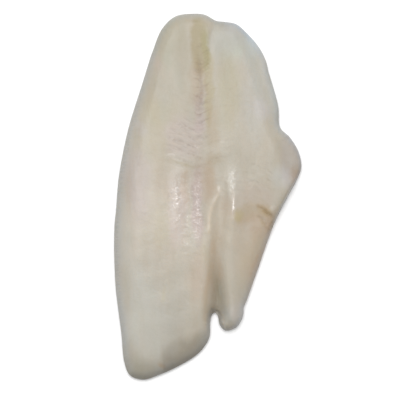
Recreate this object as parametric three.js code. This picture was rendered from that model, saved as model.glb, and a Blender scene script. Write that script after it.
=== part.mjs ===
// A raw flounder fillet lying flat on its skinned side: one piece of flesh, thick along the
// left, split from the head end into a broad left lobe and a narrow right lobe.
// Millimetres, +Z up. The tail points along +Y, the underside lies on z = 0, and the Z axis
// goes through the middle of the outline's box.
import * as THREE from "three";
import { ConvexHull } from "three/addons/math/ConvexHull.js";

// Driving dimensions.
const LENGTH = 215; // tail tip to head end
const WIDTH = 110; // left edge to the flap on the right
const RIM_LEVEL = 2.6; // height of the outline, the widest line of the rounded rim
const RIM_UNDERCUT = 2.6; // how far inside the outline the underside first touches the table
const RIM_BEND = 0.75; // 0.5 would make the rounding a quarter of an ellipse
const RIM_SIDES = [-12, 0]; // x where the left side's rounding goes over into the right side's
const SLANT_ROUND = 21; // the rounding along the slanted head end, which slopes down gently
const SLANT_STEP = [-28, -22]; // x where it starts
const SLANT_END = [-2, 2];
const SLANT_SLOPE = [-92, -74]; // y over which it fades out

// Muscle segments: V-shaped ridges across the fillet whose points face the head end.
const SEGMENT_PITCH = 5; // from one ridge to the next
const SEGMENT_RISE = 0.24; // half of the height from valley to ridge, beside the midline
const SEGMENT_REACH = 34; // the ridges flatten over this distance from the midline
const SEGMENT_WAVE = 0.7; // how far a ridge wanders off its V
const SEGMENT_WAVE_PITCH = 27;
const SEGMENT_LEAN = 0.5; // how steeply the V's arms leave the midline
const SEGMENT_ARM = 17; // where the arms level out
const SEGMENT_SAG = 0.012; // how the far right end of the arms turns back, per mm squared
const SEGMENT_START = -16; // headward of this the ridges fade
const SEGMENT_END = -64; // and here they have gone

// The flap on the right lies lower than the trunk beside it.
const FLAP_DROP = 2.2;
const FLAP_EDGE = 40.5; // where the step is at the flap's upper end
const FLAP_SLANT = 0.33; // how much the step moves right for each mm towards the head end
const FLAP_TOP = 37;
const FLAP_END = 10;
const FLAP_BLEND = 2.4; // half-width of the step

// Mesh density.
const RIM_POINTS = 232; // along the outline
const TOP_RINGS = [0.3, 1, 2.3]; // distances inside the outline
const UNDER_RINGS = [0.8, RIM_UNDERCUT];
const TOP_COLUMN = 2.4; // between points across the fillet
const TOP_CLEAR = 3.5; // free of inner points beside the outline
const UNDER_GRID = 21;
const UNDER_CLEAR = 7;

// The outline, clockwise from the tail tip seen from above.
const OUTLINE = [
  // tail end
  [-8.5, 107.5], [-1.5, 106.9], [5, 103.4], [10, 102.7], [16.7, 101.4], [23.4, 95.7], [29.9, 88.1],
  // right side down to the flap
  [34.1, 80.1], [35.9, 73], [38, 66.1], [41.5, 53], [42.6, 40.6],
  // flap
  [48.3, 34.8], [53.6, 25.6], [54.9, 17], [51.5, 8.2],
  // right lobe
  [47.2, 0.3], [39.5, -15], [29, -44], [23.2, -60.5], [21.4, -65], [20.9, -70], [17.2, -76.5],
  [10.5, -78.6], [7.1, -75],
  // notch between the lobes
  [6.2, -70.2], [4.4, -68], [2.6, -69.6],
  // left lobe and head end
  [1.7, -74], [1.1, -82.8], [-4.8, -91.6], [-17.4, -99.8], [-29, -105], [-37.5, -107.5],
  [-45.2, -105], [-48.5, -97.5],
  // left side
  [-50.4, -79.5], [-53.8, -51], [-54.4, -19], [-53.3, -6.4], [-51.8, 11.5], [-46.3, 39.5], [-38.3, 65.5],
  [-31.6, 86.5], [-26.2, 99], [-18.5, 106],
];

// Thickness along the length: [y, thickness].
const THICKNESS = [
  [108, 6.6], [85, 8], [55, 10], [20, 11.8], [-20, 12.2], [-60, 11.8], [-90, 10.4], [-108, 9],
];

// How far inside the outline the rounded rim reaches: [y, on the left, on the right].
const RIM_ROUND = [
  [108, 7, 6], [90, 8, 7], [70, 9.5, 8], [40, 10.5, 8], [15, 11.5, 5], [6, 11.5, 3.4],
  [-14, 11.5, 4.6], [-30, 11.5, 8.5], [-60, 11, 7.5], [-74, 11, 6.6], [-84, 11, 11],
  [-98, 15, 20], [-108, 16, 20],
];

// The furrow that the backbone left: [x, y], also the line that the muscle segments meet on.
const MIDLINE = [
  [-5, 110], [-4.6, 54], [-4.3, 18], [-4.3, 4], [-6.2, -3], [-6.7, -14], [-6.1, -26],
];

// Ridges and furrows: each is a line of [x, y, rise, half-width], rise below zero for a furrow.
const RELIEF = {
  midline: MIDLINE.map(([x, y], i) => [x, y, i < 6 ? -0.5 : -0.2, 1.7]),
  tailFurrow: [[4.4, 103, -0.6, 2.2], [1, 84, -0.4, 2], [0.5, 54, -0.2, 2]],
  split: [
    [9, 4.1, -0.3, 2], [8, -7.6, -0.8, 2.2], [7.4, -19.3, -1, 2.4], [6.4, -28.1, -1.9, 2.6],
    [5.4, -38, -3.7, 2.8], [5.5, -45.6, -5.9, 2.9], [6.4, -54.4, -8.7, 3.3],
    [6.4, -63.2, -9.2, 3.7], [5.2, -67.9, -9, 3.7],
  ],
  bankCrest: [[7.4, 5, 0.2, 1.8], [4.2, -2, 0.3, 1.9], [1.8, -7.6, 0.3, 2.1], [0.6, -20, 0.3, 2.2]],
  loin: [[-24, 60, 0.4, 14], [-34, 20, 1.4, 17], [-37, -20, 2.2, 18], [-34, -70, 1.6, 17]],
  loinShoulder: [[-21.9, 16, 0.2, 3], [-18.4, 0, 0.4, 3], [-17.2, -16, 0.3, 3]],
  centreRidge: [[-6.1, 4, 0.3, 5], [-1, -8, 0.8, 4.6], [-1.5, -36, 1, 4.8], [-4, -72, 0.6, 5]],
  rightCrest: [
    [12, 40, 0.2, 8], [14.5, 14, 0.8, 7], [15, -4, 1.3, 6], [13, -22, 1.2, 6],
    [11.5, -46, 0.7, 5.5], [13, -68, 0.3, 5],
  ],
  rightTrunk: [[34, 100, -2, 22], [38, 80, -2.6, 24], [44, 50, -2.8, 25], [46, 34, -2, 20]],
  rightBelly: [[50, 10, -1.8, 12], [36, -24, -2.4, 12], [26, -60, -1.8, 9]],
  sideCrack: [[29.6, -5.9, -0.6, 2], [35.4, -10.5, -1, 2.2], [37.2, -11.1, -0.6, 2]],
};

// Smooth step from 0 at a to 1 at b.
function ease(a, b, value) {
  const t = THREE.MathUtils.clamp((value - a) / (b - a), 0, 1);
  return t * t * (3 - 2 * t);
}

// Value at y, from a column of a table of [y, value, ...] whose rows go down in y.
function along(table, y, column = 1) {
  const last = table.length - 1;
  const row = table.findIndex((_, i) => i === last || table[i + 1][0] <= y);
  if (row === last) return table[last][column];
  const [upper, lower] = [table[row], table[row + 1]];
  return THREE.MathUtils.lerp(lower[column], upper[column], ease(lower[0], upper[0], y));
}

// Height that a line of [x, y, rise, half-width] adds at a point: a bell across the line.
function reliefAt(line, x, y) {
  let nearest = Infinity;
  let added = 0;
  for (let i = 0; i + 1 < line.length; i++) {
    const [ax, ay, aRise, aHalf] = line[i];
    const [bx, by, bRise, bHalf] = line[i + 1];
    const [dx, dy] = [bx - ax, by - ay];
    const t = THREE.MathUtils.clamp(((x - ax) * dx + (y - ay) * dy) / (dx * dx + dy * dy), 0, 1);
    const away = Math.hypot(x - ax - t * dx, y - ay - t * dy);
    if (away >= nearest) continue;
    nearest = away;
    const across = away / THREE.MathUtils.lerp(aHalf, bHalf, t);
    added = THREE.MathUtils.lerp(aRise, bRise, t) * Math.exp(-across * across);
  }
  return added;
}

// The outline as evenly spaced points that span WIDTH and LENGTH exactly, around the origin.
function outlinePoints() {
  const nodes = OUTLINE.map(([x, y]) => new THREE.Vector3(x, y, 0));
  const curve = new THREE.CatmullRomCurve3(nodes, true, "centripetal");
  curve.arcLengthDivisions = 20 * OUTLINE.length;
  const points = curve.getSpacedPoints(RIM_POINTS).slice(0, RIM_POINTS);
  const box = new THREE.Box3().setFromPoints(points);
  const centre = box.getCenter(new THREE.Vector3());
  const size = box.getSize(new THREE.Vector3());
  const fit = new THREE.Vector3(WIDTH / size.x, LENGTH / size.y, 1);
  return points.map((p) => p.sub(centre).multiply(fit));
}

const rim = outlinePoints();

function isInside(x, y) {
  let inside = false;
  rim.forEach((a, i) => {
    const b = rim[(i + 1) % rim.length];
    if (a.y > y !== b.y > y && x < a.x + ((b.x - a.x) * (y - a.y)) / (b.y - a.y)) {
      inside = !inside;
    }
  });
  return inside;
}

function distanceToRim(x, y) {
  const point = new THREE.Vector3(x, y, 0);
  const edge = new THREE.Line3();
  const closest = new THREE.Vector3();
  return rim.reduce((nearest, a, i) => {
    edge.set(a, rim[(i + 1) % rim.length]).closestPointToPoint(point, true, closest);
    return Math.min(nearest, closest.distanceTo(point));
  }, Infinity);
}

// Points a given distance inside the outline, beside its own points.
function ringInside(distance) {
  return rim.map((point, i) => {
    const before = rim[(i + rim.length - 1) % rim.length];
    const after = rim[(i + 1) % rim.length];
    const [dx, dy] = [after.x - before.x, after.y - before.y];
    const inwards = distance / Math.hypot(dx, dy);
    return new THREE.Vector3(point.x + dy * inwards, point.y - dx * inwards, 0);
  });
}

// How far a muscle segment's line has moved towards the tail at a distance from the midline.
function segmentShift(offset) {
  const arm = SEGMENT_LEAN * SEGMENT_ARM * Math.tanh(Math.abs(offset) / SEGMENT_ARM);
  const past = Math.max(offset - SEGMENT_ARM, 0);
  const wave = SEGMENT_WAVE * Math.sin((2 * Math.PI * offset) / SEGMENT_WAVE_PITCH);
  return arm - SEGMENT_SAG * past * past + wave;
}

function midlineX(y) {
  return along(MIDLINE.map(([x, rowY]) => [rowY, x]), y);
}

// How far inside the outline the rounded rim reaches at a place.
function rimReach(x, y) {
  const [left, right] = [along(RIM_ROUND, y, 1), along(RIM_ROUND, y, 2)];
  const reach = THREE.MathUtils.lerp(left, right, ease(...RIM_SIDES, x));
  const slant = ease(...SLANT_STEP, x) * (1 - ease(...SLANT_END, x)) * (1 - ease(...SLANT_SLOPE, y));
  return THREE.MathUtils.lerp(reach, SLANT_ROUND, slant);
}

// Height of the top above the table, from the distance to the outline as well as the place.
function topHeight(x, y, inset) {
  const rimShare = (1 - (1 - Math.min(inset / rimReach(x, y), 1)) ** 2) ** RIM_BEND;
  const offset = x - midlineX(y);
  const phase = (y - segmentShift(offset)) / SEGMENT_PITCH;
  const reach = Math.exp(-((offset / SEGMENT_REACH) ** 2));
  const segments = SEGMENT_RISE * reach * ease(SEGMENT_END, SEGMENT_START, y);
  const flapX = FLAP_EDGE + FLAP_SLANT * (FLAP_TOP - y);
  const onFlap =
    ease(flapX - FLAP_BLEND, flapX + FLAP_BLEND, x) *
    ease(FLAP_END - FLAP_BLEND, FLAP_END + FLAP_BLEND, y);
  const lines = Object.values(RELIEF).reduce((sum, line) => sum + reliefAt(line, x, y), 0);
  const full =
    along(THICKNESS, y) + lines + segments * Math.cos(2 * Math.PI * phase) - FLAP_DROP * onFlap;
  return RIM_LEVEL + (full - RIM_LEVEL) * rimShare;
}

// Height of the underside: flat on the table, rounded up to the outline.
function underHeight(inset) {
  const lift = 1 - Math.min(inset / RIM_UNDERCUT, 1);
  return RIM_LEVEL * (1 - Math.sqrt(1 - lift * lift));
}

// Points inside the outline on rows that follow the muscle segments' ridges and valleys.
function pointsOnSegments() {
  const points = [];
  const row = SEGMENT_PITCH / 2;
  for (let y0 = -LENGTH; y0 < LENGTH; y0 += row) {
    for (let x = -WIDTH / 2; x < WIDTH / 2; x += TOP_COLUMN) {
      const y = y0 + segmentShift(x - midlineX(y0));
      if (isInside(x, y) && distanceToRim(x, y) > TOP_CLEAR) {
        points.push(new THREE.Vector3(x, y, 0));
      }
    }
  }
  return points;
}

function pointsOnGrid() {
  const points = [];
  for (let y = -LENGTH / 2; y < LENGTH / 2; y += UNDER_GRID) {
    for (let x = -WIDTH / 2; x < WIDTH / 2; x += UNDER_GRID) {
      if (isInside(x, y) && distanceToRim(x, y) > UNDER_CLEAR) {
        points.push(new THREE.Vector3(x, y, 0));
      }
    }
  }
  return points;
}

// Triangles between flat points inside the outline, seen from above: the lower side of the
// convex hull of the points raised onto a paraboloid.
function triangulate(points) {
  const raised = points.map((p) => new THREE.Vector3(p.x, p.y, (p.x * p.x + p.y * p.y) / LENGTH));
  const indexOf = new Map(raised.map((p, i) => [p, i]));
  const hull = new ConvexHull().setFromPoints(raised);
  const triangles = [];
  for (const face of hull.faces) {
    if (face.normal.z >= 0) continue;
    const corners = [face.edge.next.next, face.edge.next, face.edge].map((e) => e.head().point);
    const [x, y] = ["x", "y"].map((axis) => corners.reduce((sum, p) => sum + p[axis], 0) / 3);
    if (isInside(x, y)) triangles.push(corners.map((p) => indexOf.get(p)));
  }
  return triangles;
}

function filletGeometry() {
  const topPoints = [...rim, ...TOP_RINGS.flatMap(ringInside), ...pointsOnSegments()];
  const underPoints = [...rim, ...UNDER_RINGS.flatMap(ringInside), ...pointsOnGrid()];
  const positions = [];
  const index = [];
  for (const { x, y } of topPoints) {
    const onRim = positions.length < 3 * rim.length;
    positions.push(x, y, onRim ? RIM_LEVEL : topHeight(x, y, distanceToRim(x, y)));
  }
  for (const { x, y } of underPoints.slice(rim.length)) {
    positions.push(x, y, underHeight(distanceToRim(x, y)));
  }
  // The underside shares the outline's points; its other points follow all the top ones.
  const underIndex = (i) => (i < rim.length ? i : i - rim.length + topPoints.length);
  triangulate(topPoints).forEach((corners) => index.push(...corners));
  triangulate(underPoints).forEach((corners) => index.push(...corners.map(underIndex).reverse()));
  const geometry = new THREE.BufferGeometry();
  geometry.setAttribute("position", new THREE.Float32BufferAttribute(positions, 3));
  geometry.setIndex(index);
  geometry.computeVertexNormals();
  return geometry;
}

const flesh = new THREE.MeshStandardMaterial({ color: 0xc9c1ae, roughness: 0.45, metalness: 0 });
const fillet = new THREE.Mesh(filletGeometry(), flesh);
fillet.name = "fillet";

const part = new THREE.Group();
part.add(fillet);

export default part;
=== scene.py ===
import bpy
import numpy as np
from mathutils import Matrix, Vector
from mathutils.geometry import delaunay_2d_cdt
from mathutils.kdtree import KDTree


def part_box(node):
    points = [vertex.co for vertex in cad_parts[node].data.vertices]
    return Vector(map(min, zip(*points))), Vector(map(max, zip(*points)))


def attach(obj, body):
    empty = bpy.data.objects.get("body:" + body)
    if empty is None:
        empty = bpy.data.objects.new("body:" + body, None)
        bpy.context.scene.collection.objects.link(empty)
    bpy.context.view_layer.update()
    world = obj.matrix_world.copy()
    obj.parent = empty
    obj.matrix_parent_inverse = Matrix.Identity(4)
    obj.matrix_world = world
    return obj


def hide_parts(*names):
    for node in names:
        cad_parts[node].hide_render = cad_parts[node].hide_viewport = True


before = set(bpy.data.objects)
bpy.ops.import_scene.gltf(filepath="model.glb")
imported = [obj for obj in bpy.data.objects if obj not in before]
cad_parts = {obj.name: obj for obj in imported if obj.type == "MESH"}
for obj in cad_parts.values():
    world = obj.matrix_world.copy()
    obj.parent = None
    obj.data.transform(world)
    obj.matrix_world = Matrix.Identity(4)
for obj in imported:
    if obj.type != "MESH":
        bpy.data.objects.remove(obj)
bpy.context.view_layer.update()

# ---- The cut edge ----------------------------------------------------------------------------
# The fillet is one piece of raw white flesh, cut off the bones with a long knife and skinned.
# Its edge runs round the tail, down the right side over the flap, round both lobes and the notch
# between them, and up the long smooth left side. Shapes are in millimetres up to the mesh.
MM = 0.001
low, high = (np.array(corner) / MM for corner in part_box("fillet"))
EDGE = [
    # tail end
    (-8.5, 107.5), (-1.5, 106.9), (5, 103.4), (10, 102.7), (16.7, 101.4), (23.4, 95.7), (29.9, 88.1),
    # right side down to the flap
    (34.1, 80.1), (35.9, 73), (38, 66.1), (41.5, 53), (42.6, 40.6),
    # flap
    (48.3, 34.8), (53.6, 25.6), (54.9, 17), (51.5, 8.2),
    # right lobe
    (47.2, 0.3), (39.5, -15), (29, -44), (23.2, -60.5), (21.4, -65), (20.9, -70), (17.2, -76.5),
    (10.5, -78.6), (7.1, -75),
    # notch between the lobes
    (6.2, -70.2), (4.4, -68), (2.6, -69.6),
    # left lobe and head end
    (1.7, -74), (1.1, -82.8), (-4.8, -91.6), (-17.4, -99.8), (-29, -105), (-37.5, -107.5),
    (-45.2, -105), (-48.5, -97.5),
    # left side
    (-50.4, -79.5), (-53.8, -51), (-54.4, -19), (-53.3, -6.4), (-51.8, 11.5), (-46.3, 39.5),
    (-38.3, 65.5), (-31.6, 86.5), (-26.2, 99), (-18.5, 106),
]
EDGE_STEP = 0.55
EDGE_SPLINE_STEPS = 40
# share of its distance that a point moved inwards keeps where the edge doesn't fold it over
UNFOLDED = 0.97


def smooth_line(points, steps, closed=False):
    """Centripetal spline through rows whose first two columns are the place."""
    rows = np.array(points, float)
    if closed:
        rows = np.vstack([rows[-1], rows, rows[:2]])
    else:
        rows = np.vstack([2 * rows[0] - rows[1], rows, 2 * rows[-1] - rows[-2]])
    share = np.arange(steps)[:, None] / steps
    spans = []
    for a, b, c, d in zip(rows, rows[1:], rows[2:], rows[3:]):
        ab, bc, cd = (np.hypot(*(q - p)[:2]) ** 0.5 for p, q in ((a, b), (b, c), (c, d)))
        leave = bc * ((b - a) / ab - (c - a) / (ab + bc) + (c - b) / bc)
        arrive = bc * ((c - b) / bc - (d - b) / (bc + cd) + (d - c) / cd)
        square = 3 * (c - b) - 2 * leave - arrive
        cube = 2 * (b - c) + leave + arrive
        spans.append(b + leave * share + square * share**2 + cube * share**3)
    if not closed:
        spans.append(rows[-2:-1])
    return np.vstack(spans)


def edge_line():
    """The edge as evenly spaced points that fill the solid's own length and width."""
    dense = smooth_line(EDGE, EDGE_SPLINE_STEPS, closed=True)
    loop = np.vstack([dense, dense[:1]])
    run = np.r_[0, np.cumsum(np.hypot(*np.diff(loop, axis=0).T))]
    stops = np.linspace(0, run[-1], int(run[-1] / EDGE_STEP), endpoint=False)
    line = np.column_stack([np.interp(stops, run, loop[:, axis]) for axis in (0, 1)])
    size = line.max(0) - line.min(0)
    middle = (line.max(0) + line.min(0)) / 2
    return (line - middle) * (high - low)[:2] / size + (high + low)[:2] / 2


edge = edge_line()
edge_next = np.roll(edge, -1, axis=0)
heading = edge_next - np.roll(edge, 1, axis=0)
inwards = np.column_stack([heading[:, 1], -heading[:, 0]]) / np.hypot(*heading.T)[:, None]
edge_tree = KDTree(len(edge))
for number, place in enumerate(edge):
    edge_tree.insert((*place, 0), number)
edge_tree.balance()


def nearest_on_edge(points):
    """Number of the edge's point that is nearest to each point."""
    return np.array([edge_tree.find((*point, 0))[1] for point in points])


def inset(points):
    """Distance from each point to the edge, below zero outside it."""
    nearest = nearest_on_edge(points)
    found = np.full(len(points), np.inf)
    for start in (nearest - 1, nearest):
        a, span = edge[start], (edge_next - edge)[start]
        to = points - a
        share = np.clip((to * span).sum(1) / (span**2).sum(1), 0, 1)
        away = np.hypot(*(to - share[:, None] * span).T)
        side = np.sign(span[:, 1] * to[:, 0] - span[:, 0] * to[:, 1])
        found = np.where(away < np.abs(found), away * side, found)
    return found


def ring(distance):
    """Points that far inside the edge, without those that fold over near a tight bend."""
    points = edge + distance * inwards
    return points[inset(points) > UNFOLDED * distance]


# ---- The body of the flesh -------------------------------------------------------------------
# The muscle is thickest along the left, the loin, and thins towards the tail and the right
# edge, where the belly was trimmed. Its top rounds over softly to the edge, more gently at the
# head end, and the skinned underside lies flat on the table with a small undercut all round.
# stations along the fillet: (y, thickness)
THICKNESS = [
    (-108, 9), (-90, 10.4), (-60, 11.8), (-20, 12.2), (20, 11.8), (55, 10), (85, 8), (108, 6.6),
]
STATION_SPLINE_STEPS = 12
RIM_LEVEL = 2.6
RIM_UNDERCUT = 2.6
RIM_BEND = 0.75
# how far the rounding reaches inwards: (y, on the left, on the right)
RIM_ROUND = [
    (-108, 16, 20), (-98, 15, 20), (-84, 11, 11), (-74, 11, 6.6), (-60, 11, 7), (-30, 11.5, 7.5),
    (-14, 11.5, 3.8), (6, 11.5, 2.9), (15, 11.5, 4.2), (40, 10.5, 8), (70, 9.5, 8), (90, 8, 7),
    (108, 7, 6),
]
RIM_SIDES = (-12, 0)
# the slanted head end rounds over further between these places across and below this height
SLANT_ROUND = 21
SLANT_STARTS = (-26.5, -23.5)
SLANT_ENDS = (-2, 2)
SLANT_SLOPE = (-92, -74)
FLAP_DROP = 2.2
FLAP_EDGE = 40.5
FLAP_SLANT = 0.33
FLAP_SPAN = (10, 37)
FLAP_BLEND = 1.4


def ease(start, end, value):
    """Smooth step from 0 at start to 1 at end."""
    share = np.clip((value - start) / (end - start), 0, 1)
    return share * share * (3 - 2 * share)


def along(stations, y):
    """The columns of a table of (y, ...) stations, smooth between its rows."""
    rows = [(station[0], 0, *station[1:]) for station in stations]
    rows = smooth_line(rows, STATION_SPLINE_STEPS)
    return [np.interp(y, rows[:, 0], column) for column in rows[:, 2:].T]


def flap(x, y):
    """1 on the flap of flesh that hangs lower on the right, 0 on the trunk."""
    fold = FLAP_EDGE + FLAP_SLANT * (FLAP_SPAN[1] - y)
    beside = ease(fold - FLAP_BLEND, fold + FLAP_BLEND, x)
    return beside * ease(FLAP_SPAN[0] - FLAP_BLEND, FLAP_SPAN[0] + FLAP_BLEND, y)


def rim_reach(x, y):
    """How far inwards the rounding reaches."""
    left, right = along(RIM_ROUND, y)
    reach = left + (right - left) * ease(*RIM_SIDES, x)
    slant = ease(*SLANT_STARTS, x) * (1 - ease(*SLANT_SLOPE, y)) * (1 - ease(*SLANT_ENDS, x))
    return reach + (SLANT_ROUND - reach) * slant


# ---- Ridges and furrows ----------------------------------------------------------------------
# The backbone left a furrow along the midline, and the muscle parts along a split that deepens
# to the notch. Crests stand beside the split, the loin swells on the left, and the head end
# slopes away. Each is a line of (x, y, rise, half-width); a rise below zero is a furrow.
RELIEF = {
    "split": [
        (9, 4.1, -0.3, 2), (8, -7.6, -0.8, 2.2), (7.4, -19.3, -1, 2.2), (6.2, -28.1, -1.9, 2.2),
        (5, -38, -3.9, 2.1), (5, -45.6, -6.2, 2.2), (5.7, -54.4, -8.6, 2.7),
        (6.2, -63.2, -9, 3.4), (5.2, -67.9, -9, 3.7),
    ],
    "loin": [(-24, 60, 0.4, 14), (-34, 20, 1.4, 17), (-37, -20, 2.2, 18), (-34, -70, 1.6, 17)],
    "centre ridge": [(-6.1, 4, 0.3, 5), (-1, -8, 0.8, 4.6), (-1.5, -36, 1, 4.8), (-4, -72, 0.6, 5)],
    "right crest": [
        (12, 40, 0.2, 8), (14.5, 14, 0.8, 7), (15, -4, 1.3, 6), (13, -22, 1.2, 6),
        (11.5, -46, 0.7, 6), (13, -68, 0.1, 6),
    ],
    "right trunk": [(34, 100, -2, 22), (38, 80, -2.6, 24), (44, 50, -2.8, 25), (46, 34, -2, 20)],
    "right belly": [(50, 10, -1.8, 12), (36, -24, -2.4, 12), (26, -60, -1.8, 9)],
}
FINE_RELIEF = {
    "midline": [(-5, 110, -0.1, 2), (-4.8, 82, -0.2, 2), (-4.6, 54, -0.25, 1.7), (-4.3, 4, -0.1, 2)],
    "tail furrow": [(4.4, 103, -0.5, 2.2), (1, 84, -0.25, 2), (0.5, 54, -0.1, 2)],
    "loin shoulder": [(-21.9, 16, 0.1, 3), (-18.4, 0, 0.25, 3), (-17.2, -16, 0.15, 3)],
    "bank crest": [
        (7.4, 5, 0.2, 1.8), (4.2, -2, 0.28, 1.9), (1.8, -7.6, 0.26, 2.1), (0.6, -20, 0.3, 2.2),
    ],
    "head step": [(-25.6, -84, -0.1, 1.2), (-25.9, -92, -0.45, 1.3), (-26, -99, -0.6, 1.4)],
    "crest edge": [
        (12.4, 14.6, 0.1, 3), (13.8, 4, 0.15, 2.6), (14.8, -4, 0.22, 1.9), (15, -9, 0.22, 1.9),
        (14, -18, 0.1, 2),
    ],
    "upper crack": [
        (29.6, -5.9, -0.3, 0.8), (32.5, -7.6, -0.6, 0.9), (35.4, -10.5, -0.7, 1),
        (37.6, -11.6, -0.5, 1),
    ],
    "lower crack": [(29.6, -11.7, -0.2, 0.8), (31.9, -12.9, -0.5, 0.9), (34.3, -15.8, -0.4, 0.9)],
    "torn bump": [(38, -7.8, 0.4, 1.5), (38.6, -9, 0.4, 1.5)],
    "fold below the crack": [
        (24, -18, 0.05, 1.5), (30, -17, 0.12, 1.4), (35, -17.5, 0.25, 1.4), (36.4, -19, 0.2, 1.4),
    ],
    "lobe crease": [(-26, -56.2, -0.12, 1), (-23.6, -60.3, -0.12, 1)],
    "head crease": [(-14.9, -80.7, -0.2, 1.4), (-14.9, -89.5, -0.25, 1.6)],
    "loin dent": [(-41.2, 40.4, 0.3, 2.4), (-44.1, 27.5, 0.35, 2.2), (-43.5, 11.1, 0.2, 2.4)],
}
LINE_SPLINE_STEPS = 12
# a line adds nothing beyond this many half-widths
LINE_REACH = 3


def relief(line, points):
    """Height that one line adds at each point: a bell across the line."""
    rows = smooth_line(line, LINE_SPLINE_STEPS)
    reach = LINE_REACH * rows[:, 3].max()
    least, most = rows[:, :2].min(0) - reach, rows[:, :2].max(0) + reach
    near = np.all((points > least) & (points < most), 1)
    away = np.hypot(*(points[near, None] - rows[:, :2]).transpose(2, 0, 1))
    nearest = away.argmin(1)
    aside = away[np.arange(len(away)), nearest] / rows[nearest, 3]
    added = np.zeros(len(points))
    added[near] = rows[nearest, 2] * np.exp(-aside * aside)
    return added


def all_relief(lines, points):
    """Height that all the lines add together."""
    return sum(relief(line, points) for line in lines)


# ---- Muscle segments -------------------------------------------------------------------------
# The flesh is built of thin V-shaped segments that meet on the midline and point to the head
# end. They show as faint ridges with fine dark lines between them, clearest along the midline
# and in a few places beside it.
MIDLINE = [(-5, 110), (-4.6, 54), (-4.3, 18), (-4.3, 4), (-6.2, -3), (-6.7, -14), (-6.1, -26)]
SEGMENT_PITCH = 5
SEGMENT_RISE = 0.035
SEGMENT_WAVE = 0.7
SEGMENT_WAVE_PITCH = 27
SEGMENT_LEAN = 0.5
SEGMENT_ARM = 17
SEGMENT_SAG = 0.012
SEGMENT_WANDER = 0.14
SEGMENT_WANDER_PITCH = 10
SEGMENT_WANDER_SEED = 3
# each: (x, y, half-width, half-length, strength)
SEGMENT_SHOWS = {
    "midline": (-3.4, 62, 5.8, 34, 1),
    "left of it": (-14, 31.5, 12.5, 17, 1),
    "right of it": (7, 29, 11, 9, 0.5),
    "right trunk": (29, 10, 14, 13, 0.5),
    "all over": (-6, 44, 36, 44, 0.15),
}
SEGMENT_SHOWS_FADE = (0.5, 1.2)
# the breaks along a segment: how strong it is on average, at most, and how much that changes
BREAK_PITCH = 8
BREAK_SEED = 5
BREAK_MEAN = 0.7
BREAK_CHANGE = 0.8
BREAK_MOST = 1.5
RIPPLE_WAVES = 24
RIPPLE_PITCHES = (0.75, 1.4)


def from_midline(x, y):
    """How far a point lies to the right of the midline."""
    line = np.array(MIDLINE)[::-1]
    return x - np.interp(y, line[:, 1], line[:, 0])


def ripple(points, length, seed):
    """Random smooth unevenness of about -1 to 1 whose bumps are about that length apart."""
    draw = np.random.default_rng(seed)
    turn = draw.uniform(0, np.pi, RIPPLE_WAVES)
    pitch = length * draw.uniform(*RIPPLE_PITCHES, RIPPLE_WAVES)
    start = draw.uniform(0, 2 * np.pi, RIPPLE_WAVES)
    run = points @ np.array([np.cos(turn), np.sin(turn)]) / pitch
    return np.cos(2 * np.pi * run + start).sum(1) / (RIPPLE_WAVES / 2) ** 0.5 / 2


def segment_phase(x, y):
    """Which segment a point lies in, as a number that grows by 1 from ridge to ridge."""
    offset = from_midline(x, y)
    arm = SEGMENT_LEAN * SEGMENT_ARM * np.tanh(np.abs(offset) / SEGMENT_ARM)
    past = np.maximum(offset - SEGMENT_ARM, 0)
    wave = SEGMENT_WAVE * np.sin(2 * np.pi * offset / SEGMENT_WAVE_PITCH)
    uneven = ripple(np.column_stack([x, y]), SEGMENT_WANDER_PITCH, SEGMENT_WANDER_SEED)
    level = y - (arm - SEGMENT_SAG * past * past + wave)
    return level / SEGMENT_PITCH + SEGMENT_WANDER * uneven


def segment_share(x, y):
    """How clearly the segments show at a point."""
    shown = np.zeros(len(x))
    for middle_x, middle_y, wide, long, strength in SEGMENT_SHOWS.values():
        away = np.hypot((x - middle_x) / wide, (y - middle_y) / long)
        shown = np.maximum(shown, strength * (1 - ease(*SEGMENT_SHOWS_FADE, away)))
    return shown


def segment_breaks(x, y):
    """The segments fade out and come back along their length."""
    uneven = ripple(np.column_stack([x, y]), BREAK_PITCH, BREAK_SEED)
    return np.clip(BREAK_MEAN + BREAK_CHANGE * uneven, 0, BREAK_MOST)


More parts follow.
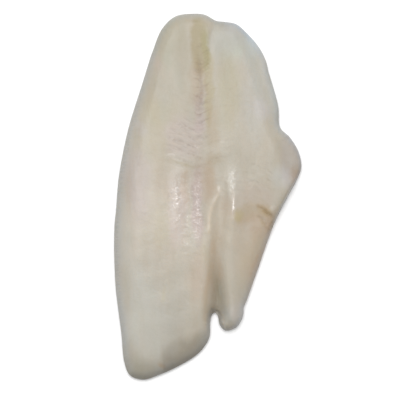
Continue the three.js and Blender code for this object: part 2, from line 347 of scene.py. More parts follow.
# ---- Wet places ------------------------------------------------------------------------------
# Liquid lies on the crests as a thin film that breaks into specks, and here and there as beads
# and short streaks. Each is a line of (x, y, strength, half-width).
WET = {
    "loin shoulder": [
        (-20, 12, 0.2, 3), (-18.6, 5, 0.7, 4), (-18, -3, 0.6, 4), (-16.5, -16, 0.4, 6),
        (-15, -26, 0.3, 5),
    ],
    "crest": [(14.2, 16, 0.5, 3), (13.4, 10, 0.75, 3.4), (13.4, 4, 0.5, 2.6), (15, -6, 0.2, 2)],
    "centre": [(-12, 10, 0.35, 9), (-11, -10, 0.4, 10), (-12, -26, 0.2, 8)],
    "midline": [(-6, 9, 0.6, 2), (-6.3, 0, 0.6, 2), (-5.4, -10, 0.75, 2.2), (-6.2, -24, 0.4, 2)],
}
BEADS = {
    "streak on the crest": [
        (16.1, 0.6, 0.1, 1), (15.9, -1.2, 0.5, 1.2), (15.2, -3.6, 1, 1.5), (14.9, -6.6, 1, 1.4),
        (14.7, -9.4, 0.2, 1.1),
    ],
    "specks on the crest": [(14.6, 13.6, 0.35, 1), (13.6, 9, 0.3, 1.2), (14.4, 5.2, 0.4, 1)],
    "specks on the midline": [(-6.8, -0.6, 0.35, 0.9), (-6, -4, 0.4, 0.9), (-5.2, -11, 0.15, 0.9)],
    "speck on the slope": [(6.2, 5, 0.5, 0.9), (6.6, 4, 0.5, 0.9)],
    "loin, upper speck": [(-18.1, 5.4, 0.8, 0.9), (-18, 3.8, 0.8, 0.9)],
    "loin, lower speck": [(-17.7, -0.4, 0.75, 0.9), (-17.9, -1.4, 0.75, 0.9)],
    "loin, lowest speck": [(-18.3, -3.4, 0.6, 0.9), (-18.1, -4, 0.6, 0.9)],
    "loin, top speck": [(-18.4, 14.4, 0.25, 0.8), (-18, 13.2, 0.25, 0.8)],
    "drops": [(-12.3, -28, 0.5, 0.9), (-12.3, -29.8, 0.4, 0.9)],
    "drop below": [(-10.8, -42.4, 0.5, 0.8), (-10.8, -43, 0.5, 0.8)],
    "drops at the head": [(-14.9, -80.5, 0.3, 0.8), (-17.2, -83.6, 0.3, 0.8)],
    "drop on the patch": [(-6.4, 28.7, 0.4, 0.9), (-7.2, 29.2, 0.4, 0.9)],
    "drop on the right": [(8, 32, 0.25, 0.9), (9, 32, 0.25, 0.9)],
    "stroke right of the patch": [(0, 26.6, 0.08, 0.8), (3.5, 27.3, 0.15, 0.8), (6.5, 28.2, 0.08, 0.8)],
    "speck on the bank's crest": [(4.6, -0.6, 0.1, 0.8), (4, -2, 0.25, 0.9), (3.2, -3.6, 0.1, 0.8)],
    "streak on the bank's crest": [(1.1, -12.5, 0.1, 0.8), (0.9, -15, 0.22, 0.9), (0.8, -18, 0.1, 0.8)],
    "stroke left of the patch": [
        (-24.5, 24.2, 0.05, 0.8), (-20.5, 24.6, 0.35, 0.9), (-18, 23.8, 0.05, 0.8),
    ],
}


# ---- The fillet's mesh -----------------------------------------------------------------------
# One closed skin: rings of points follow the rounded edge, an even field of points covers the
# rest, and both sides share the points of the edge itself. The body is evened out first, and
# the fine relief and the wet flesh's own unevenness lie on it.
TOP_STEP = 0.57
UNDER_STEP = 1.8
# the rings stand as if round a quarter circle of this radius, at these turns
TOP_RING_BEND = 8.5
TOP_RINGS = TOP_RING_BEND * (1 - np.cos(np.radians(np.arange(5, 50, 5))))
UNDER_RINGS = RIM_UNDERCUT * (1 - np.cos(np.radians(np.arange(15, 91, 15))))
KEEP_INSIDE = 1
MERGE_WITHIN = 1e-6
EVENING_ROUNDS = 40
EVENING_CLEAR = (1, 5)
# unevenness: how far its bumps are apart, and how high they are; the pitch also sets the seed
UNEVENNESS = {14: 0.1, 5: 0.03, 2.2: 0.01}
SEEDS_PER_PITCH = 10
WET_UNEVENNESS = 0.025
WET_PITCH = 2.2
WET_SEED = 9


def field(spacing, clear):
    """Even staggered points more than clear inside the edge."""
    rows = np.arange(low[1], high[1], spacing * 3**0.5 / 2)
    columns = np.arange(low[0], high[0], spacing)
    x, y = np.meshgrid(columns, rows)
    x = x + spacing / 2 * (np.arange(len(rows)) % 2)[:, None]
    points = np.column_stack([x.ravel(), y.ravel()])
    return points[inset(points) > clear]


def joined(points):
    """Triangles, seen from above, between points that start with the edge's own."""
    loop = [list(range(len(edge)))]
    flat = [Vector(point) for point in points]
    made = delaunay_2d_cdt(flat, [], loop, KEEP_INSIDE, MERGE_WITHIN)
    source = np.array([found[0] for found in made[3]])
    triangles = source[np.array(made[2])]
    a, b, c = (points[triangles[:, corner]] for corner in range(3))
    turned = np.cross(b - a, c - a) < 0
    triangles[turned] = triangles[turned][:, ::-1]
    return triangles


def evened(heights, triangles, weight):
    """Heights drawn towards the mean of their neighbours, round after round."""
    ends = np.vstack([triangles[:, [0, 1]], triangles[:, [1, 2]], triangles[:, [2, 0]]])
    count = np.bincount(ends[:, 0], minlength=len(heights)) + 1
    for _ in range(EVENING_ROUNDS):
        total = np.bincount(ends[:, 0], heights[ends[:, 1]], len(heights)) + heights
        heights = heights + weight * (total / count - heights)
    return heights


top = np.vstack([edge, *map(ring, TOP_RINGS), field(TOP_STEP, TOP_RINGS[-1] + TOP_STEP / 2)])
under = np.vstack([edge, *map(ring, UNDER_RINGS), field(UNDER_STEP, RIM_UNDERCUT + UNDER_STEP / 2)])
top_triangles = joined(top)

top_inset = np.maximum(inset(top), 0)
x, y = top.T
rim = (1 - (1 - np.clip(top_inset / rim_reach(x, y), 0, 1)) ** 2) ** RIM_BEND
body = along(THICKNESS, y)[0] - FLAP_DROP * flap(x, y) + all_relief(RELIEF.values(), top)
top_z = RIM_LEVEL + (body - RIM_LEVEL) * rim
top_z = evened(top_z, top_triangles, ease(*EVENING_CLEAR, top_inset))

phase = segment_phase(x, y)
segments = segment_share(x, y)
strength = segments * segment_breaks(x, y)
wetness = np.clip(all_relief(WET.values(), top), 0, 1)
fine = SEGMENT_RISE * strength * np.cos(2 * np.pi * phase)
fine += all_relief(FINE_RELIEF.values(), top)
fine += sum(
    height * ripple(top, pitch, int(SEEDS_PER_PITCH * pitch)) for pitch, height in UNEVENNESS.items()
)
fine += WET_UNEVENNESS * wetness * ripple(top, WET_PITCH, WET_SEED)
top_z += fine * rim
top_z[: len(edge)] = RIM_LEVEL

lift = 1 - np.clip(inset(under) / RIM_UNDERCUT, 0, 1)
under_z = RIM_LEVEL * (1 - np.sqrt(1 - lift * lift))
own = len(edge)
under_index = np.r_[np.arange(own), np.arange(own, len(under)) - own + len(top)]

vertices = np.vstack([np.column_stack([top, top_z]), np.column_stack([under, under_z])[own:]])
triangles = np.vstack([top_triangles, under_index[joined(under)][:, ::-1]])

mesh = bpy.data.meshes.new("fillet_flesh")
mesh.from_pydata(vertices * MM, [], triangles.tolist())
mesh.shade_smooth()
mesh.update()
fillet = bpy.data.objects.new("fillet_flesh", mesh)
bpy.context.scene.collection.objects.link(fillet)
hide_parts("fillet")
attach(fillet, "root")

# ---- Marks kept for the flesh's colour and painted light and shade ---------------------------
# The colour follows the shape in places: dark lines lie between the segments and along the
# midline, the torn cracks are stained, and the wet crests shine. Other marks paint light and
# shade into the colour: a painted highlight along the bank's crest, and painted shade along the
# crease lines, on the split's wall and floor and round the edge. The crease lines, the wall and
# the edge also carry a browner tone. The mesh carries these marks, drawn as the relief is, from
# lines of (x, y, strength, half-width).
MARKS = {
    "beads": list(BEADS.values()),
    "stain": [
        # upper crack
        [(29, -5.5, 0.3, 1.1), (32.3, -7.6, 0.6, 1.3), (35.2, -10, 1, 1.9), (37.4, -12, 0.5, 1.3)],
        # lower crack
        [(29.2, -11.5, 0.3, 0.9), (31.2, -13.6, 0.6, 1.2), (32.8, -16.4, 0.6, 1.3)],
        # nick in the edge
        [(38, -14, 0.3, 1), (37.4, -16.8, 1, 1.5), (36.2, -19.4, 0.6, 1.2)],
    ],
    "midline": [
        [
            (-4.9, 80, 0.5, 1.2), (-4.6, 72, 0.9, 1.1), (-3.6, 64, 0.8, 1.1), (-4, 55, 0.9, 1),
            (-4.4, 50, 0.2, 1),
        ],
    ],
    # darker, browner lines along the crease lines: a browner tone with painted shade in them
    "creases": [
        # below the patch
        [(-25.4, 21.6, 0.3, 1), (-16, 19.4, 0.9, 1.1), (-9, 17.5, 0.9, 1.1), (-5, 17.2, 0.3, 1)],
        # above the cracks
        [(24, 2, 0.1, 0.8), (31, -1.6, 0.4, 0.8), (37, -7, 0.3, 0.8)],
        # in the split
        [(5, -46, 0.2, 0.8), (5.6, -53, 1, 0.8), (6.3, -58, 1, 0.8), (7, -62, 0.4, 0.8)],
    ],
    # painted highlight along the bank's crest
    "painted_bank_crest_highlight": [
        [
            (7.6, 4.4, 0.2, 1), (4.9, -1, 0.7, 1.1), (2, -7, 1, 1.1), (0.9, -13, 1, 1.2),
            (0.7, -19, 0.9, 1.1), (0.8, -24, 0.1, 1),
        ],
    ],
    # the split's wall: a browner tone and painted shade
    "split_wall": [
        [
            (3.8, -20, 0.1, 1.4), (2.6, -31, 0.6, 1.8), (1.7, -38, 0.8, 1.9), (0.5, -45.6, 1, 1.9),
            (-0.6, -54.4, 1, 1.9), (-1.2, -63.2, 1, 1.9), (-1.4, -70.8, 0.8, 1.7),
            (-0.8, -80.1, 0.5, 1.6),
        ],
    ],
    # painted shade on the split's floor
    "painted_split_floor_shade": [
        [
            (4.6, -27, 0.05, 1.5), (4.8, -38, 0.35, 1.9), (5.1, -45.6, 0.5, 2.2),
            (5.8, -54.4, 0.8, 2.7), (6.3, -62, 0.75, 3.2), (6.2, -67.3, 0.35, 3.2),
        ],
    ],
}
# the shaded facet of the head end: where it starts and fades across, and starts along
HEAD_SHADE_STARTS = (-27.3, -24.9)
HEAD_SHADE_FADES = (-22.5, -17)
HEAD_SHADE_HEIGHT = (-92.5, -84.5)
HEAD_SHADE_SLANT = 0.55
# a darker, browner rim along the edge: partly the cut edge's own tone and partly painted shade,
# stronger where it faces the head end, away from the lamp, and weaker where it faces the tail
EDGE_DARK = 0.46
EDGE_DARK_REACH = 1.9
HEAD_EDGE_DARK = 0.7
TAIL_EDGE_DARK = 0.8
TAIL_FACING_MOST = -0.5
# share of the rounding over which the flesh turns glassy, and the widest rounding counted
THIN_SHARE = 0.6
THIN_ROUND = 11.5


def keep(name, values):
    """Store a number at each point of the mesh: 0 on the underside where only the top has one."""
    spread = np.zeros(len(vertices), np.float32)
    spread[: len(values)] = values
    held = mesh.attributes.new(name, "FLOAT", "POINT")
    held.data.foreach_set("value", spread)


for name, lines in MARKS.items():
    keep(name, np.clip(all_relief(lines, top), 0, 1))

level = y - HEAD_SHADE_SLANT * (x - HEAD_SHADE_STARTS[1])
shade = ease(*HEAD_SHADE_STARTS, x) * (1 - ease(*HEAD_SHADE_FADES, x))
keep("head_shade", shade * (1 - ease(*HEAD_SHADE_HEIGHT, level)))

places = vertices[:, :2]
inside = np.maximum(inset(places), 0)
# the edge's darker rim: its own browner tone with painted shade that grows towards the head end
to_head = np.clip(inwards[nearest_on_edge(places)][:, 1], TAIL_FACING_MOST, 1)
edge_reach = EDGE_DARK_REACH * (1 + np.maximum(to_head, 0) ** 2)
facing = np.where(to_head > 0, HEAD_EDGE_DARK * to_head**2, TAIL_EDGE_DARK * to_head)
keep("dark_edge_and_painted_shade", (EDGE_DARK + facing) * np.exp(-((inside / edge_reach) ** 2)))
thin_reach = THIN_SHARE * np.minimum(rim_reach(*places.T), THIN_ROUND)
keep("thin", 1 - ease(0, thin_reach, inside))

keep("wet", wetness)
keep("segment", phase)
keep("segment_strength", strength * rim)
keep("segment_share", segments * rim)
keep("offset", from_midline(x, y))

# ---- The flesh's colour, with painted light and shade ----------------------------------------
# Raw flatfish is cream white. It turns glassy and grey where it is thin, olive along the tail's
# midline, pinkish beside the backbone and yellow in soft streaks. Some tints paint light and shade
# instead of the flesh's own colour: painted shade on the head end and its left foot, in the split,
# over the middle and on the left side of the lobe tip; painted sheen on the centre and in two
# lilac spots; painted light on the right edge and on the right side of the lobe tip; and the tints
# named for shade or light. Each tint is a soft ellipse on the flesh, drawn out unevenly, and the
# tints are multiplied together.
CREAM = (0.45, 0.41, 0.341)
# each: (x, y, half-width, half-length, lean in degrees, share that is full, tint)
TINTS = {
    # tail
    "upper trunk": (-6, 66, 36, 52, 0, 0.5, (0.94, 0.94, 0.92)),
    "glassy tail, right": (18, 92, 20, 15, 25, 0.4, (1.01, 1.085, 1.18)),
    "right shoulder of the tail": (22.4, 91, 4.5, 10, 20, 0.3, (1.03, 1.035, 1.05)),
    # paler band along the right edge: glassy thin flesh and painted light over the slope's shade
    "painted light on the glassy right side": (32, 70, 8, 36, 17, 0.3, (1.05, 1.10, 1.165)),
    "glassy tail, left": (-22, 93, 12, 18, -18, 0.3, (0.935, 0.945, 0.915)),
    "blue corner of the tail": (15, 99, 8, 6, 0, 0.3, (1.0, 0.995, 1.04)),
    "shade right of the ribbon": (9, 88, 8, 20, 0, 0.3, (0.94, 0.94, 0.935)),
    "olive ribbon": (-4.6, 87.5, 5.4, 17, 0, 0.7, (0.81, 0.76, 0.59)),
    "greener ribbon side": (-1.4, 86, 2.6, 14, 0, 0.4, (0.94, 0.96, 0.82)),
    "teal spot": (-24, 82, 5, 9, -10, 0.2, (0.94, 0.97, 0.96)),
    "teal streak": (-17.5, 70, 3.5, 12, 0, 0.3, (0.96, 0.99, 1.0)),
    "left trunk": (-26, 62, 7, 18, 4, 0.3, (0.955, 0.96, 0.955)),
    "left of the ribbon": (-14.5, 86, 6, 22, 0, 0.2, (0.915, 0.90, 0.865)),
    "left edge of the tail": (-31, 76, 4.5, 17, -20, 0.3, (1.025, 1.015, 1.025)),
    # along the midline
    "pink beside the midline": (-6.1, 66, 5.8, 16, 0, 0.4, (0.957, 0.888, 0.838)),
    "beside the midline": (-7, 28, 10, 34, 0, 0.4, (0.945, 0.945, 0.94)),
    "yellow right of the midline": (0.8, 62, 3, 22, 0, 0.5, (0.94, 0.90, 0.77)),
    "tan right of the midline": (2.4, 40, 5, 14, 0, 0.4, (0.95, 0.90, 0.84)),
    "brown right of the midline": (4, 22, 6, 4.5, 10, 0.2, (0.95, 0.91, 0.85)),
    "lilac midline": (-4.8, 47, 3.8, 14, 0, 0.4, (0.982, 0.922, 0.985)),
    "under the chevrons": (-3, 58, 5, 14, 0, 0.3, (0.96, 0.96, 0.95)),
    # painted sheen: the wet surface's lilac-white reflection, paler than the flesh
    "painted lilac sheen on the patch": (-14, 35, 13, 15, 0, 0.5, (1.05, 1.01, 1.08)),
    "pale spot on the patch": (-20, 40, 5, 6, 0, 0.2, (1.035, 1.03, 1.04)),
    "yellow over the patch": (-27, 50, 13, 8, 0, 0.4, (0.99, 0.99, 0.95)),
    # upper trunk
    "yellow streak, left": (-30, 38, 6, 22, 6, 0.4, (0.99, 0.98, 0.93)),
    "yellow streak, right": (12, 62, 8, 25, 0, 0.4, (0.99, 0.99, 0.92)),
    "green edge of it": (17.5, 84, 3, 6, 0, 0.2, (1.0, 1.03, 0.99)),
    "pale right trunk": (26, 56, 7, 26, 6, 0.3, (0.99, 1.02, 1.08)),
    "grey right trunk": (24, 36, 14, 14, 0, 0.2, (0.98, 0.98, 0.98)),
    "lilac spot, right": (31, 52, 6, 8, 0, 0.2, (1.03, 1.03, 1.09)),
    "pink spot, upper left": (-30, 77, 3.5, 6, 0, 0.2, (1.01, 0.98, 1.0)),
    # middle
    # painted shade over the middle of the fillet
    "painted shade over the middle of the fillet": (-2, 3, 48, 16, 0, 0.2, (0.983, 0.983, 0.983)),
    # paler flesh in the centre, made brighter still with painted sheen
    "pale centre with painted sheen": (-26, -8, 24, 30, 0, 0.2, (1.12, 1.11, 1.12)),
    "left edge": (-45, -30, 8, 30, 2, 0.3, (1.04, 1.05, 1.075)),
    "lilac left": (-41, 8, 9, 24, 4, 0.4, (1.0, 0.98, 1.06)),
    "blue spot, left": (-39, 40, 4, 4, 30, 0.2, (1.0, 1.01, 1.08)),
    # painted sheen: the wet surface's lilac-white reflection
    "painted lilac sheen in the centre": (-18, -8, 6, 24, 0, 0.5, (1.05, 1.02, 1.08)),
    "magenta streak": (-6.2, -6, 3.4, 23, 0, 0.5, (0.975, 0.90, 0.97)),
    "dim ground above the streak": (-5, -3, 8, 6, 0, 0.3, (0.968, 0.968, 0.968)),
    "pink ground on the midline": (-1.4, 14, 9, 17, 0, 0.3, (1.005, 0.98, 0.977)),
    "pale end of the midline": (-7.3, -20, 3, 6, 0, 0.3, (1.045, 1.045, 1.045)),
    "orange right of the midline": (0.8, 9.5, 4.8, 14, 0, 0.3, (0.94, 0.86, 0.765)),
    "tan strip": (-12.8, 6, 2.8, 12, 0, 0.4, (0.96, 0.89, 0.84)),
    "shaded midline": (-4, 5, 9, 19, 0, 0.4, (0.915, 0.885, 0.87)),
    "wet patch of the loin": (-14, 1, 10, 13, 0, 0.3, (0.965, 0.96, 0.965)),
    "between the wet strips": (-11.4, -13, 3, 9, 0, 0.3, (0.965, 0.965, 0.965)),
    "orange left": (-25.5, 10, 6, 14, 0, 0.3, (0.94, 0.91, 0.885)),
    "yellow streak, lower left": (-27, -20, 5, 17, 0, 0.3, (1.0, 1.0, 0.96)),
    "crest's pale top": (15, 4, 5, 13, 0, 0.4, (0.99, 1.0, 1.02)),
    "pinker side of the crest": (13, -6, 6, 8, 0, 0.3, (1.04, 1.01, 1.01)),
    "left flank of the crest": (10.5, -5, 3, 14, 0, 0.3, (0.965, 0.965, 0.96)),
    "above the crest": (13, 20, 15, 11, 8, 0.3, (0.915, 0.915, 0.90)),
    "by the crest's upper end": (16, 11, 5, 5, 0, 0.2, (0.97, 0.97, 0.965)),
    "right of the crest": (33, 21, 14, 15, 0, 0.3, (0.955, 0.955, 0.945)),
    "left of the flap": (38, 22, 6, 8, -10, 0.3, (0.975, 0.975, 0.975)),
    "pale crests": (8, -14, 12, 20, 0, 0.3, (1.0, 0.97, 0.94)),
    "left of the bank's crest": (-2.6, -8, 3, 8, 0, 0.3, (0.94, 0.94, 0.935)),
    # right side
    "pink side": (28, 0, 14, 10, -10, 0.3, (1.0, 0.96, 0.96)),
    "right lobe top": (26, -10, 12, 6, 8, 0.4, (0.955, 0.895, 0.82)),
    "pink below the cracks": (29, -17, 13, 7, -10, 0.3, (1.01, 0.95, 0.925)),
    "brown below the cracks": (19, -26.5, 5, 9, -15, 0.3, (1.012, 0.978, 0.955)),
    "under the cracks": (28.5, -19, 5, 5, 0, 0.3, (0.965, 0.965, 0.96)),
    "mustard patch": (18.4, -10.6, 3.2, 4, 0, 0.4, (0.97, 0.97, 0.82)),
    "stain by the cracks": (33.5, -9, 6, 5, -30, 0.3, (0.96, 0.90, 0.80)),
    "brown edge by the cracks": (38.8, -13, 3.4, 9, -28, 0.3, (0.93, 0.86, 0.80)),
    "flap": (50, 21, 8.5, 17, 0, 0.6, (0.92, 0.91, 0.96)),
    "orange corner of the flap": (51.5, 12.5, 4, 4.5, -20, 0.3, (0.98, 0.91, 0.85)),
    "blue patch by the flap": (43, 12, 7.5, 7, -30, 0.3, (1.03, 1.07, 1.15)),
    "below the flap": (48, 9, 5, 6, -30, 0.2, (1.04, 1.045, 1.06)),
    "orange right lobe": (27, -33, 8, 22, -18, 0.4, (1.02, 0.95, 0.88)),
    "right lobe's edge": (31.5, -40, 5, 27, -20, 0.4, (1.0, 0.895, 0.825)),
    "right lobe tip": (16, -70, 8, 10, 0, 0.3, (0.93, 0.96, 1.01)),
    # painted light on the lobe tip's right side
    "painted light on the tip's right side": (17.5, -69, 5, 9, -8, 0.3, (1.07, 1.06, 1.09)),
    # painted shade on the lobe tip's left side
    "painted shade on the tip's left side": (10.5, -71, 3.5, 8, 0, 0.3, (0.89, 0.915, 0.94)),
    # split
    # browner tone and painted shade in the split
    "split": (4.4, -44, 4, 26, 0, 0.3, (0.97, 0.89, 0.82)),
    "pale slope left of the split": (-1.4, -22.5, 3, 7, 0, 0.3, (1.04, 1.04, 1.04)),
    "yellow by the split": (-2.4, -32, 3.4, 9, 0, 0.3, (1.0, 0.985, 0.93)),
    "shade of the bank's foot": (-1.5, -55, 3.4, 9, 0, 0.3, (0.965, 0.96, 0.95)),
    "pink beside the split": (-6, -46, 7, 18, 0, 0.3, (1.02, 0.96, 0.93)),
    "left of the split": (-18, -33, 8, 12, 0, 0.3, (1.05, 1.04, 1.04)),
    # left lobe
    "warmer foot of the loin": (-30, -41, 9, 14, 0, 0.2, (1.014, 0.99, 0.975)),
    "light on the loin's foot": (-41.5, -29, 6, 9, 0, 0.2, (1.025, 1.023, 1.025)),
    "left edge of the loin's foot": (-48, -27, 6, 20, 0, 0.3, (1.01, 1.025, 1.045)),
    "glassy left lobe": (-32, -68, 20, 36, 0, 0.5, (1.02, 1.072, 1.13)),
    "pinker middle of the lobe": (-23, -56, 8, 18, 0, 0.2, (1.016, 0.99, 0.973)),
    "greyer left lobe": (-18, -74, 11, 18, 0, 0.2, (0.93, 0.93, 0.93)),
    "pale left lobe": (-42, -72, 6, 18, 2, 0.2, (1.05, 1.05, 1.06)),
    "light on the left lobe": (-36.5, -72, 5, 10, 0, 0.3, (1.03, 1.03, 1.03)),
    "left edge of the left lobe": (-43, -74, 5, 13, 8, 0.3, (1.025, 1.035, 1.045)),
    "left lobe beside the notch": (-2, -73, 5, 10, 0, 0.3, (1.04, 1.04, 1.04)),
    "yellow streak on the lobe": (-25.4, -57, 1.8, 7, 0, 0.2, (1.01, 1.0, 0.93)),
    # head end
    # painted shade on the head end, which slopes away from the lamp
    "head end": (-11, -94, 19, 11, 32, 0.4, (0.745, 0.73, 0.70)),
    "above the head end": (-9, -82, 7, 6, 0, 0.2, (1.06, 1.06, 1.06)),
    # painted shade on the left foot of the head end
    "left foot": (-40, -104, 15, 10, -5, 0.1, (0.77, 0.775, 0.745)),
    "lower edge of the left lobe": (-41, -104.5, 13, 3.5, 0, 0.3, (1.05, 1.05, 1.05)),
    "upper left foot": (-48, -94, 6, 8, 0, 0.2, (0.93, 0.93, 0.92)),
    "pink crease at the head": (-26.6, -99.6, 2.4, 3, 0, 0.1, (0.96, 0.86, 0.78)),
}
# a tint fades out this many times its half-widths from its middle
TINT_REACH = 1.25
# the drift that draws the tints out: bumps for each millimetre, detail, millimetres across and along
DRIFT_SCALE = 0.07
DRIFT_DETAIL = 3
DRIFT = (9, 14, 0)
MARK_TINTS = {
    "thin": (0.90, 0.975, 1.10),
    # the edge's darker rim: its own browner tone and painted shade
    "dark_edge_and_painted_shade": (0.68, 0.65, 0.60),
    # painted highlight along the bank's crest
    "painted_bank_crest_highlight": (1.17, 1.15, 1.14),
    # the split's wall: a browner tone and painted shade
    "split_wall": (0.97, 0.90, 0.83),
    # painted shade on the split's floor
    "painted_split_floor_shade": (0.64, 0.645, 0.62),
    # the crease lines: browner tone and painted shade
    "creases": (0.89, 0.87, 0.80),
    "head_shade": (0.86, 0.85, 0.84),
}
# noise patterns: (bumps for each millimetre, detail, none below, full above)
LINE_TINT = (0.87, 0.85, 0.84)
LINE_SHARPNESS = 4
LINE_GAPS = (0.45, 2, 0.36, 0.56)
# the grain follows the segments: bumps for each segment along, for each millimetre across
GRAIN_STRETCH = (5, 0.22)
GRAIN_SCALE = 0.75
GRAIN_DETAIL = 3
DARK_GRAIN_TINT = (0.93, 0.915, 0.91)
DARK_GRAIN_SHOWS = (0.5, 0.68)
PALE_GRAIN_TINT = (1.06, 1.05, 1.05)
PALE_GRAIN_SHOWS = (0.52, 0.7)
MIDLINE_TINT = (0.83, 0.80, 0.79)
MIDLINE_LEAST = 0.6
MIDLINE_DASHES = (0.3, 1.0)
STAIN_TINT = (0.77, 0.70, 0.55)
STAIN_LEAST = 0.5
STAIN_BREAKS = (0.5, 2, 0.3, 0.6)
# each: (bumps for each millimetre across and along, detail, none below, full above, tint)
MOTTLES = {
    "clouds": ((0.13, 0.05, 0), 3, 0.4, 0.65, (0.968, 0.971, 0.959)),
    "lengthwise streaks": ((0.16, 0.03, 0), 2, 0.42, 0.62, (0.99, 0.975, 0.965)),
    "fine spots": ((0.5, 0.5, 0), 2, 0.45, 0.7, (0.978, 0.981, 0.974)),
}
NOISE_ROUGHNESS = 0.5

flesh = bpy.data.materials.new("raw_flesh")
flesh.use_nodes = True
tree = flesh.node_tree
skin = tree.nodes["Principled BSDF"]


def add(kind, settings, sockets, output=0):
    """One shader node: its settings first, then a value or a link for each named socket."""
    node = tree.nodes.new(kind)
    for name, value in settings.items():
        setattr(node, name, value)
    for name, value in sockets.items():
        if isinstance(value, Tone):
            tree.links.new(value.output, node.inputs[name])
        else:
            node.inputs[name].default_value = value
    return Tone(node.outputs[output])


class Tone:
    """A value that varies over the flesh; sums and products of tones add Math nodes."""

    def __init__(self, output):
        self.output = output

    def maths(self, operation, first, second):
        return add("ShaderNodeMath", {"operation": operation}, {0: first, 1: second})

    def __add__(self, other):
        return self.maths("ADD", self, other)

    def __radd__(self, other):
        return self.maths("ADD", other, self)

    def __sub__(self, other):
        return self.maths("SUBTRACT", self, other)

    def __rsub__(self, other):
        return self.maths("SUBTRACT", other, self)

    def __mul__(self, other):
        return self.maths("MULTIPLY", self, other)

    def __rmul__(self, other):
        return self.maths("MULTIPLY", other, self)

    def __pow__(self, other):
        return self.maths("POWER", self, other)

    def __rpow__(self, other):
        return self.maths("POWER", other, self)


def kept(name):
    """A mark that the mesh carries."""
    return add("ShaderNodeAttribute", {"attribute_name": name}, {}, "Fac")


def vector(operation, first, second):
    return add("ShaderNodeVectorMath", {"operation": operation}, {0: first, 1: second}, "Vector")


def noise(place, scale, detail, output="Fac"):
    sockets = {"Vector": place, "Scale": scale, "Detail": detail, "Roughness": NOISE_ROUGHNESS}
    return add("ShaderNodeTexNoise", {"noise_dimensions": "3D"}, sockets, output)


def step(value, start, end):
    """0 below start, 1 above end, smooth between them."""
    settings = {"interpolation_type": "SMOOTHSTEP", "clamp": True}
    return add("ShaderNodeMapRange", settings, {"Value": value, 1: start, 2: end, 3: 0.0, 4: 1.0})


def blotches(scale, detail, start, end):
    """Random blotches on the flesh, from 0 to 1."""
    return step(noise(spot, scale, detail), start, end)


def tinted(colour, tint, share):
    """The colour times a tint, where share is 1."""
    settings = {"data_type": "RGBA", "blend_type": "MULTIPLY", "clamp_factor": True}
    return add("ShaderNodeMix", settings, {0: share, 6: colour, 7: (*tint, 1)}, 2)


# the place on the flesh in millimetres, seen from above, and the same place after the drift
spot = vector("MULTIPLY", add("ShaderNodeTexCoord", {}, {}, "Object"), (1 / MM, 1 / MM, 0))
drift = vector("SUBTRACT", noise(spot, DRIFT_SCALE, DRIFT_DETAIL, "Color"), (0.5, 0.5, 0.5))
drifted = vector("ADD", spot, vector("MULTIPLY", drift, DRIFT))

colour = (*CREAM, 1)
for middle_x, middle_y, wide, long, lean, whole, tint in TINTS.values():
    sockets = {
        "Vector": drifted,
        "Location": (middle_x, middle_y, 0),
        "Rotation": (0, 0, np.radians(lean)),
        "Scale": (TINT_REACH * wide, TINT_REACH * long, 1),
    }
    local = add("ShaderNodeMapping", {"vector_type": "TEXTURE"}, sockets)
    round_it = {"gradient_type": "SPHERICAL"}
    centred = add("ShaderNodeTexGradient", round_it, {"Vector": local}, "Fac")
    colour = tinted(colour, tint, step(centred, 0, 1 - whole / TINT_REACH))

for name, tint in MARK_TINTS.items():
    colour = tinted(colour, tint, kept(name))

# fine lines between the segments, broken by gaps
turn = kept("segment") * (2 * np.pi)
wave = add("ShaderNodeMath", {"operation": "COSINE"}, {0: turn})
lines = (0.5 - 0.5 * wave) ** LINE_SHARPNESS
colour = tinted(colour, LINE_TINT, lines * blotches(*LINE_GAPS) * kept("segment_strength"))

# grain that runs with the segments
segment_run = kept("segment") * GRAIN_STRETCH[0]
grain_place = add("ShaderNodeCombineXYZ", {}, {0: segment_run, 1: kept("offset") * GRAIN_STRETCH[1]})
grain = noise(grain_place, GRAIN_SCALE, GRAIN_DETAIL)
shows = kept("segment_share")
colour = tinted(colour, DARK_GRAIN_TINT, step(grain, *DARK_GRAIN_SHOWS) * shows)
colour = tinted(colour, PALE_GRAIN_TINT, step(1 - grain, *PALE_GRAIN_SHOWS) * shows)

# dashed dark midline, stained cracks
dashes = MIDLINE_LEAST + (1 - MIDLINE_LEAST) * step(1 - lines, *MIDLINE_DASHES)
colour = tinted(colour, MIDLINE_TINT, kept("midline") * dashes)
stained = STAIN_LEAST + (1 - STAIN_LEAST) * blotches(*STAIN_BREAKS)
colour = tinted(colour, STAIN_TINT, kept("stain") * stained)

for stretch, detail, start, end, tint in MOTTLES.values():
    mottle = noise(vector("MULTIPLY", spot, stretch), 1.0, detail)
    colour = tinted(colour, tint, step(mottle, start, end))
tree.links.new(colour.output, skin.inputs["Base Color"])

# ---- The flesh's finish ----------------------------------------------------------------------
# The flesh lets light a few millimetres into it. A thin film of liquid lies on it, thickest in
# specks on the crests and in the beads, and its cut surface has fine shallow pits.
ROUGHNESS = 0.46
WET_SMOOTHER = 0.12
ROUGHNESS_CHANGE = 0.14
ROUGHNESS_SCALE = 0.9
ROUGHNESS_DETAIL = 2
FILM = 0.06
WET_FILM = 0.06
SPECK_FILM = 0.9
SPECKS = (1.15, 2, 0.5, 0.63)
PIT_SCALE = 0.7
PIT_DETAIL = 3
PIT_STRENGTH = 0.25
PIT_DEPTH = 0.0004
FINISH = {
    "Coat Roughness": 0.16,
    "Coat IOR": 1.6,
    "IOR": 1.4,
    "Subsurface Weight": 0.4,
    "Subsurface Radius": (1, 0.8, 0.6),
    "Subsurface Scale": 0.003,
}

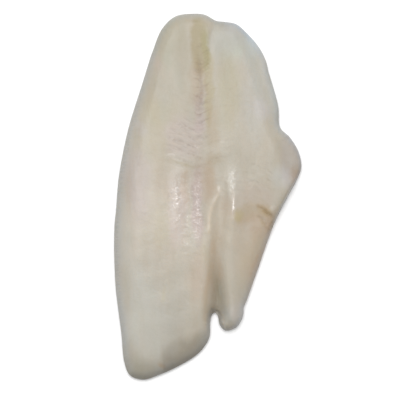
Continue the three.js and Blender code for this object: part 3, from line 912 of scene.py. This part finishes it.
wet = kept("wet")
uneven = noise(spot, ROUGHNESS_SCALE, ROUGHNESS_DETAIL) - 0.5
rough = ROUGHNESS - WET_SMOOTHER * wet + ROUGHNESS_CHANGE * uneven
tree.links.new(rough.output, skin.inputs["Roughness"])
film = FILM + wet * (WET_FILM + SPECK_FILM * blotches(*SPECKS)) + kept("beads")
tree.links.new(film.output, skin.inputs["Coat Weight"])
pits = noise(spot, PIT_SCALE, PIT_DETAIL)
bump = {"Strength": PIT_STRENGTH, "Distance": PIT_DEPTH, "Height": pits}
tree.links.new(add("ShaderNodeBump", {}, bump).output, skin.inputs["Normal"])
for name, value in FINISH.items():
    skin.inputs[name].default_value = value
mesh.materials.append(flesh)

# ---- Table, light and camera -----------------------------------------------------------------
# A white table under one large soft lamp, overhead and a little towards the tail end, with a
# pale room around it. The camera looks straight down.
TABLE_HALF = 2
TABLE_WHITE = (0.95, 0.95, 0.95, 1)
TABLE_ROUGHNESS = 0.9
ROOM_WHITE = (1, 1, 1, 1)
ROOM_LIGHT = 0.4
LAMP_AWAY = 2.5
LAMP_TILT = np.radians(18)
LAMP_LEFT = 0.16
LAMP_SIZE = 2
LAMP_POWER = 60
CAMERA_PLACE = (-0.00454, -0.00198)
CAMERA_HEIGHT = 1
VIEW_WIDTH = 0.235
SENSOR_WIDTH = 36

table_mesh = bpy.data.meshes.new("table")
corners = [(-1, -1), (1, -1), (1, 1), (-1, 1)]
table_mesh.from_pydata([(TABLE_HALF * a, TABLE_HALF * b, 0) for a, b in corners], [], [(0, 1, 2, 3)])
table = bpy.data.objects.new("table", table_mesh)
bpy.context.scene.collection.objects.link(table)
paper = bpy.data.materials.new("table")
paper.use_nodes = True
paper_finish = paper.node_tree.nodes["Principled BSDF"]
paper_finish.inputs["Base Color"].default_value = TABLE_WHITE
paper_finish.inputs["Roughness"].default_value = TABLE_ROUGHNESS
table_mesh.materials.append(paper)

scene = bpy.context.scene
room = bpy.data.worlds.new("studio")
scene.world = room
room.use_nodes = True
room_light = room.node_tree.nodes["Background"]
room_light.inputs["Color"].default_value = ROOM_WHITE
room_light.inputs["Strength"].default_value = ROOM_LIGHT

key_light = bpy.data.lights.new("key", "AREA")
key_light.shape = "DISK"
key_light.size = LAMP_SIZE
key_light.energy = LAMP_POWER
key = bpy.data.objects.new("key", key_light)
key.location = (-LAMP_LEFT, LAMP_AWAY * np.sin(LAMP_TILT), LAMP_AWAY * np.cos(LAMP_TILT))
key.rotation_euler = (Vector((0, 0, 0)) - key.location).to_track_quat("-Z", "Y").to_euler()
scene.collection.objects.link(key)

lens = bpy.data.cameras.new("camera")
lens.sensor_width = SENSOR_WIDTH
lens.lens = SENSOR_WIDTH * (CAMERA_HEIGHT - RIM_LEVEL * MM) / VIEW_WIDTH
camera = bpy.data.objects.new("camera", lens)
camera.location = (*CAMERA_PLACE, CAMERA_HEIGHT)
scene.collection.objects.link(camera)
scene.camera = camera
scene.view_settings.view_transform = "Standard"
